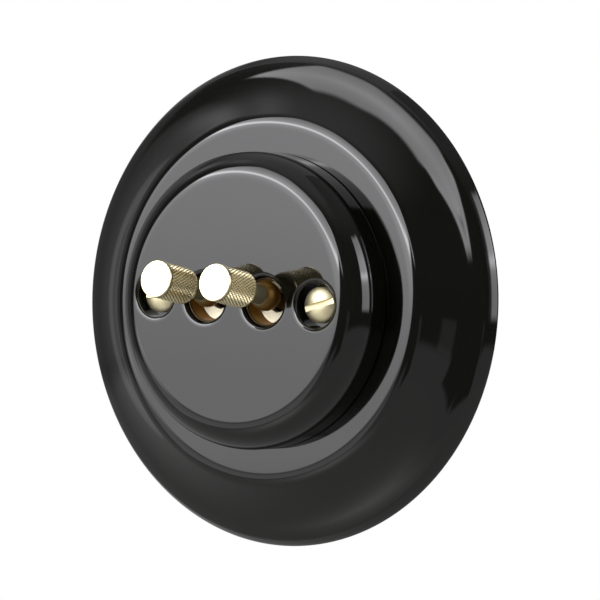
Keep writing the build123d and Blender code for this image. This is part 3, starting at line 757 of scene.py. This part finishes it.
# %% [markdown]
# ## The studio
#
# Glaze shows the room more than itself, so the room is built with care: a dim tent with one large
# softbox at the upper left, a narrower light at the right, and a pale floor below. Area lamps would show
# in the glaze as plain oblongs, and the real lights have cut corners and soft ends. So the tent is a
# sphere that the camera doesn't see, and its material draws each light by the direction from the switch.
# The azimuth is 0 straight out of the wall and grows to the right, and the height is above the horizon.

# %% Studio tent
TENT_RADIUS = 2.5

tent = new_piece(
    "studio_tent", bpy.ops.mesh.primitive_uv_sphere_add, segments=64, ring_count=32, radius=TENT_RADIUS
)
tent.visible_camera = False
tent_light = bpy.data.materials.new("tent_light")
tent_light.use_nodes = True
tree = tent_light.node_tree
tree.nodes.clear()


def calculate(operation, *values):
    """A Math node on sockets or numbers. Returns its output."""
    node = tree.nodes.new("ShaderNodeMath")
    node.operation = operation
    for socket, value in zip(node.inputs, values):
        if isinstance(value, (int, float)):
            socket.default_value = value
        else:
            tree.links.new(value, socket)
    return node.outputs[0]


place = tree.nodes.new("ShaderNodeTexCoord")
direction = tree.nodes.new("ShaderNodeVectorMath")
direction.operation = "NORMALIZE"
tree.links.new(place.outputs["Object"], direction.inputs[0])
split = tree.nodes.new("ShaderNodeSeparateXYZ")
tree.links.new(direction.outputs["Vector"], split.inputs["Vector"])
front = calculate("MULTIPLY", split.outputs["Y"], -1.0)
azimuth = calculate("DEGREES", calculate("ARCTAN2", split.outputs["X"], front))
height = calculate("DEGREES", calculate("ARCSINE", split.outputs["Z"]))
print("tent radius:", TENT_RADIUS, "m")

# %% [markdown]
# Lights in a studio are boxes, bulbs and strips, and each is a small formula on azimuth and height. A
# panel is a box with soft edges, a hot spot is a bulb behind cloth, a band is a tube, and a slanting
# line cuts a corner off. All angles are in degrees.


# %% Light shapes
def smooth_step(value, low, high):
    """0 below low, 1 above high, and a smooth rise between."""
    node = tree.nodes.new("ShaderNodeMapRange")
    node.interpolation_type = "SMOOTHSTEP"
    node.inputs["From Min"].default_value = low
    node.inputs["From Max"].default_value = high
    tree.links.new(value, node.inputs["Value"])
    return node.outputs["Result"]


def between(value, low, high, soft):
    """1 between two limits, with soft edges."""
    rise = smooth_step(value, low - soft, low + soft)
    fall = smooth_step(value, high - soft, high + soft)
    return calculate("SUBTRACT", rise, fall)


def panel(left, right, low, high, soft):
    """1 inside a stretch of directions, with soft edges."""
    return calculate("MULTIPLY", between(azimuth, left, right, soft), between(height, low, high, soft))


def hot_spot(centre, spread):
    """A bright middle that fades out all round."""
    across = calculate("DIVIDE", calculate("SUBTRACT", azimuth, centre[0]), spread[0])
    along = calculate("DIVIDE", calculate("SUBTRACT", height, centre[1]), spread[1])
    reach = calculate("ADD", calculate("MULTIPLY", across, across), calculate("MULTIPLY", along, along))
    return calculate("EXPONENT", calculate("MULTIPLY", reach, -1.0))


def beyond(slope, limit, soft):
    """1 above a slanting line through the directions."""
    above_line = calculate("SUBTRACT", height, calculate("MULTIPLY", azimuth, slope))
    return smooth_step(above_line, limit - soft, limit + soft)


def without(light, shape):
    """A light with a shape taken out of it."""
    return calculate("MULTIPLY", light, calculate("SUBTRACT", 1.0, shape))


def band(value, middle, spread):
    """A bright line that fades out to both sides."""
    across = calculate("DIVIDE", calculate("SUBTRACT", value, middle), spread)
    return calculate("EXPONENT", calculate("MULTIPLY", calculate("MULTIPLY", across, across), -1.0))


def total(start, lights):
    """Adds lights, each times its power, to a start value."""
    level = start
    for light, power in lights:
        level = calculate("ADD", calculate("MULTIPLY", light, power), level)
    return level


# %% [markdown]
# The main softbox fills the upper left. Its corners are cut off, and its lamp is a line behind the cloth
# that bends down towards the right. It lights the flat face and draws the long bright crescent on the
# rim. Two small corners carry its light a little further, down at the left and out at the right.

# %% Main softbox
main_box = calculate("MULTIPLY", panel(-52, 5.5, -6.5, 46.5, 2.0), beyond(1.0, 10.5, 2.0))
for slope, limit in ((-0.5, 36.8), (1.25, 97.0)):
    main_box = without(main_box, beyond(slope, limit, 2.0))
lamp_line = calculate("ADD", height, calculate("MULTIPLY", smooth_step(azimuth, -30, -4), 12.0))
main_power = total(2.55, (
    (smooth_step(height, -4, 2), 0.8),
    (smooth_step(height, 30, 50), -0.7),
    (hot_spot((-24, 5), (10, 8)), 1.2),
    (hot_spot((-16, 30), (14, 9)), 1.2),
    (band(lamp_line, 22.5, 13.0), 2.2),
    (band(lamp_line, 22.5, 3.2), 8.0),
))
low_corner = panel(-57, -42, -11, -5, 1.5)
right_corner = calculate("SUBTRACT", smooth_step(azimuth, 3.5, 7.5), smooth_step(azimuth, 8.6, 10.2))
right_corner = calculate("MULTIPLY", right_corner, smooth_step(height, 7.5, 11.5))
right_corner = without(right_corner, beyond(-1.25, 38.8, 1.5))
print("main softbox nodes:", len(tree.nodes))

# %% [markdown]
# A second softbox far round to the right draws the thin bright lines on the right rim and shoulder. At
# the left there are only dim things: a glow high up, a narrow strip and a grey wall. Above is a pale
# ceiling, and below is the edge of the floor, with a dark gap in it.

# %% Side, ceiling and floor lights
right_box = panel(78.5, 110, -3, 42, 2.0)
right_power = total(2.8, ((band(height, 24.0, 10.0), 2.0), (band(height, 17.5, 2.5), 4.0)))
upper_left = total(hot_spot((-84, 37), (9, 8)), ((hot_spot((-68, 50), (11, 7)), 0.55),))
left_strip = panel(-103, -97, -36, 34, 1.5)
left_wall = panel(-150, -71, -12, 32, 3.0)
ceiling_level = total(1.0, ((smooth_step(azimuth, 20, 55), -0.6),))
ceiling = calculate("MULTIPLY", smooth_step(height, 28, 64), ceiling_level)
floor_glow = panel(-60, -14, -30, -6, 3.0)
floor_edge = panel(22, 31.5, -13, -3.5, 1.0)
dark_gap = panel(5, 20.5, -20, 2, 1.0)
low_fill = without(calculate("SUBTRACT", 1.0, smooth_step(height, -15, -10.5)), dark_gap)
print("light nodes:", len(tree.nodes))

# %% [markdown]
# The tent's own dim level and all the lights add up to one strength. The light is a touch blue, as from
# daylight tubes, which gives the black glaze its cool grey.

# %% Tent strength
TENT_LEVEL = 0.1
COOL_WHITE = (0.975, 0.975, 1.0, 1)

strength = total(TENT_LEVEL, (
    (main_box, main_power),
    (low_corner, 1.4),
    (right_corner, 4.5),
    (right_box, right_power),
    (upper_left, 0.75),
    (left_strip, 0.2),
    (left_wall, 0.17),
    (ceiling, 0.42),
    (floor_glow, 0.7),
    (floor_edge, 0.2),
    (low_fill, 0.35),
))
glow = tree.nodes.new("ShaderNodeEmission")
glow.inputs["Color"].default_value = COOL_WHITE
tree.links.new(strength, glow.inputs["Strength"])
surface = tree.nodes.new("ShaderNodeOutputMaterial")
tree.links.new(glow.outputs["Emission"], surface.inputs["Surface"])
tent.data.materials.append(tent_light)
print("tent nodes:", len(tree.nodes))

# %% [markdown]
# The background of the photo is pure white with no shadow. A white wall would catch one, so the world
# itself is white where the camera looks straight at it, and in mirrors. Elsewhere it is dimmer.

# %% Background
ROOM_LEVEL = 0.6
WHITE_LEVEL = 1.0

world = bpy.data.worlds.new("white_room")
bpy.context.scene.world = world
world.use_nodes = True
backdrop = world.node_tree.nodes["Background"]
backdrop.inputs["Color"].default_value = (1, 1, 1, 1)
rays = world.node_tree.nodes.new("ShaderNodeLightPath")
seen = rays.outputs["Is Camera Ray"]
for ray in ("Is Glossy Ray", "Is Transmission Ray"):
    either = world.node_tree.nodes.new("ShaderNodeMath")
    either.operation = "MAXIMUM"
    world.node_tree.links.new(seen, either.inputs[0])
    world.node_tree.links.new(rays.outputs[ray], either.inputs[1])
    seen = either.outputs[0]
level = world.node_tree.nodes.new("ShaderNodeMapRange")
level.inputs["To Min"].default_value = ROOM_LEVEL
level.inputs["To Max"].default_value = WHITE_LEVEL
world.node_tree.links.new(seen, level.inputs["Value"])
world.node_tree.links.new(level.outputs["Result"], backdrop.inputs["Strength"])
print("world:", world.name)

# %% [markdown]
# The pale floor lies far enough below to stay out of the picture, yet it still shows in the lower half
# of the glaze. A pool of light on it, in front and to the left, makes the soft streak at the lower right.

# %% Floor
FLOOR_DROP = 0.5
FLOOR_LEVEL = 0.46
POOL_POWER = 0.7
POOL_PLACE = (-0.21, -0.68, 0.0)
POOL_SPREAD = 0.2

floor = new_piece("pale_floor", bpy.ops.mesh.primitive_circle_add, vertices=96, radius=1.0, fill_type="NGON")
floor.location.z = -FLOOR_DROP
floor_paint = bpy.data.materials.new("floor_paint")
floor_paint.use_nodes = True
tree = floor_paint.node_tree
tree.nodes.clear()
rays = tree.nodes.new("ShaderNodeLightPath")
glow = tree.nodes.new("ShaderNodeEmission")
place = tree.nodes.new("ShaderNodeTexCoord")
reach = tree.nodes.new("ShaderNodeVectorMath")
reach.operation = "DISTANCE"
reach.inputs[1].default_value = POOL_PLACE
tree.links.new(place.outputs["Object"], reach.inputs[0])
pool = band(reach.outputs["Value"], 0.0, POOL_SPREAD)
level = tree.nodes.new("ShaderNodeMapRange")
tree.links.new(total(FLOOR_LEVEL, ((pool, POOL_POWER),)), level.inputs["To Min"])
level.inputs["To Max"].default_value = WHITE_LEVEL
tree.links.new(rays.outputs["Is Camera Ray"], level.inputs["Value"])
tree.links.new(level.outputs["Result"], glow.inputs["Strength"])
surface = tree.nodes.new("ShaderNodeOutputMaterial")
tree.links.new(glow.outputs["Emission"], surface.inputs["Surface"])
floor.data.materials.append(floor_paint)
print("floor:", FLOOR_DROP, "m below the switch's centre")

# %% [markdown]
# ## The camera
#
# The switch is seen from its right, almost level, with the camera rolled a little. It could be set by eye,
# but every size that is read from the photo hangs on it, so distance, angle and roll were solved from the
# round outlines. The lens follows from the scale in pixels per millimetre, and the lens shift puts the
# switch's origin on its pixel.

# %% Camera
CAMERA_DISTANCE = 0.6
CAMERA_AZIMUTH = math.radians(34.5)
CAMERA_HEIGHT = math.radians(1.25)
CAMERA_ROLL = math.radians(2.79)
PIXELS_PER_MM = 4.897
PICTURE = 600
CENTRE_PIXEL = (287.2, 300.78)
SENSOR = 36.0
NEAREST = 0.05

right = Vector((math.cos(CAMERA_AZIMUTH), math.sin(CAMERA_AZIMUTH), 0))
back = Vector((
    math.sin(CAMERA_AZIMUTH) * math.cos(CAMERA_HEIGHT),
    -math.cos(CAMERA_AZIMUTH) * math.cos(CAMERA_HEIGHT),
    math.sin(CAMERA_HEIGHT),
))
up = back.cross(right)
rolled_right = right * math.cos(CAMERA_ROLL) + up * math.sin(CAMERA_ROLL)
rolled_up = up * math.cos(CAMERA_ROLL) - right * math.sin(CAMERA_ROLL)
bpy.ops.object.camera_add()
camera = bpy.context.object
turn = Matrix((rolled_right, rolled_up, back)).transposed().to_4x4()
camera.matrix_world = Matrix.Translation(back * CAMERA_DISTANCE) @ turn
camera.data.sensor_width = SENSOR
camera.data.lens = PIXELS_PER_MM * CAMERA_DISTANCE / MM * SENSOR / PICTURE
camera.data.shift_x = (PICTURE / 2 - CENTRE_PIXEL[0]) / PICTURE
camera.data.shift_y = (CENTRE_PIXEL[1] - PICTURE / 2) / PICTURE
camera.data.clip_start = NEAREST
bpy.context.scene.camera = camera
bpy.context.scene.view_settings.view_transform = "Standard"
print("lens:", round(camera.data.lens, 1), "mm")
